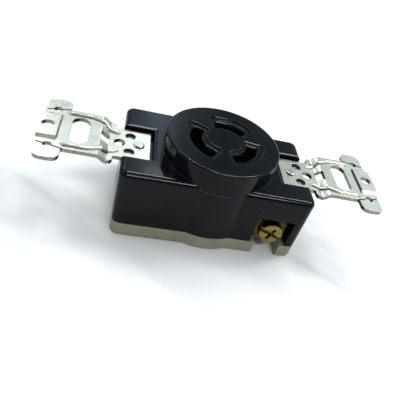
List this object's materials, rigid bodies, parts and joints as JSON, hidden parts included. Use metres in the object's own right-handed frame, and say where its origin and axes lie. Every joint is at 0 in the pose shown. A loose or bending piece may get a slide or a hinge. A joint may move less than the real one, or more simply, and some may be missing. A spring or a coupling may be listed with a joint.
{
  "type": "flush twist-locking receptacle",
  "caption": "Flush-mounted round-faced twist-locking receptacle with curved blade slots, black housing, pale base, riveted steel yoke and side-wired clamp terminals.",
  "frame": {"origin": "centre of the yoke between its two mounting slots, on the rear face of the ears (z = 0)", "axes": "+X along the yoke towards the end nearer the two line terminals, +Z out of the receptacle face, -Y the long side with the single terminal opening"},
  "size_m": [0.1064, 0.0367, 0.0299],
  "materials": {
    "housing_plastic": "glossy black moulded thermoplastic",
    "base_plastic": "matte grey-beige moulded thermoset",
    "carrier_plastic": "matte black moulded thermoset",
    "plated_steel": "pale zinc-plated strip, satin with fine speckle",
    "rivet_steel": "bright plated",
    "spring_steel": "satin spring steel",
    "contact_brass": "plain rolled brass",
    "plate_brass": "stamped brass, lightly tarnished",
    "screw_brass": "brass-finished, satin",
    "screw_green": "green-dyed plated steel"
  },
  "bodies": {
    "receptacle": {"housing": "housing_plastic", "base": "base_plastic", "contact_carrier": "carrier_plastic", "yoke_left": "plated_steel", "yoke_right": "plated_steel", "rivet_left": "rivet_steel", "rivet_right": "rivet_steel", "ground_bond": "contact_brass", "contact_line_1": "contact_brass", "spring_clip_line_1": "spring_steel", "terminal_line_1": "contact_brass", "contact_rivet_line_1": "contact_brass", "contact_line_2": "contact_brass", "spring_clip_line_2": "spring_steel", "terminal_line_2": "contact_brass", "contact_rivet_line_2": "contact_brass", "contact_ground": "contact_brass", "spring_clip_ground": "spring_steel", "terminal_ground": "contact_brass", "contact_rivet_ground": "contact_brass"},
    "clamp_line_1": {"pressure_plate_line_1": "plate_brass"},
    "screw_line_1": {"terminal_screw_line_1": "screw_brass"},
    "clamp_line_2": {"pressure_plate_line_2": "plate_brass"},
    "screw_line_2": {"terminal_screw_line_2": "screw_brass"},
    "clamp_ground": {"pressure_plate_ground": "plate_brass"},
    "screw_ground": {"terminal_screw_ground": "screw_green"}
  },
  "joints": [
    {"name": "clamp_line_1_travel", "type": "slide", "parent": "receptacle", "child": "clamp_line_1", "axis": [0, -1, 0], "range_m": [-0.00119, 0.00119]},
    {"name": "screw_line_1_turn", "type": "hinge", "parent": "clamp_line_1", "child": "screw_line_1", "pos_m": [0.0198, -0.0146, -0.0137], "axis": [0, -1, 0], "range_deg": [-540, 540]},
    {"name": "clamp_line_2_travel", "type": "slide", "parent": "receptacle", "child": "clamp_line_2", "axis": [0, 1, 0], "range_m": [-0.00119, 0.00119]},
    {"name": "screw_line_2_turn", "type": "hinge", "parent": "clamp_line_2", "child": "screw_line_2", "pos_m": [0.0198, 0.0146, -0.0137], "axis": [0, 1, 0], "range_deg": [-540, 540]},
    {"name": "clamp_ground_travel", "type": "slide", "parent": "receptacle", "child": "clamp_ground", "axis": [0, 1, 0], "range_m": [-0.00119, 0.00119]},
    {"name": "screw_ground_turn", "type": "hinge", "parent": "clamp_ground", "child": "screw_ground", "pos_m": [-0.0198, 0.0146, -0.0137], "axis": [0, 1, 0], "range_deg": [-540, 540]}
  ],
  "couplings": [
    {"joint": "screw_line_1_turn", "follows": "clamp_line_1_travel", "rad_per_m": 7915.8},
    {"joint": "screw_line_2_turn", "follows": "clamp_line_2_travel", "rad_per_m": 7915.8},
    {"joint": "screw_ground_turn", "follows": "clamp_ground_travel", "rad_per_m": 7915.8}
  ]
}
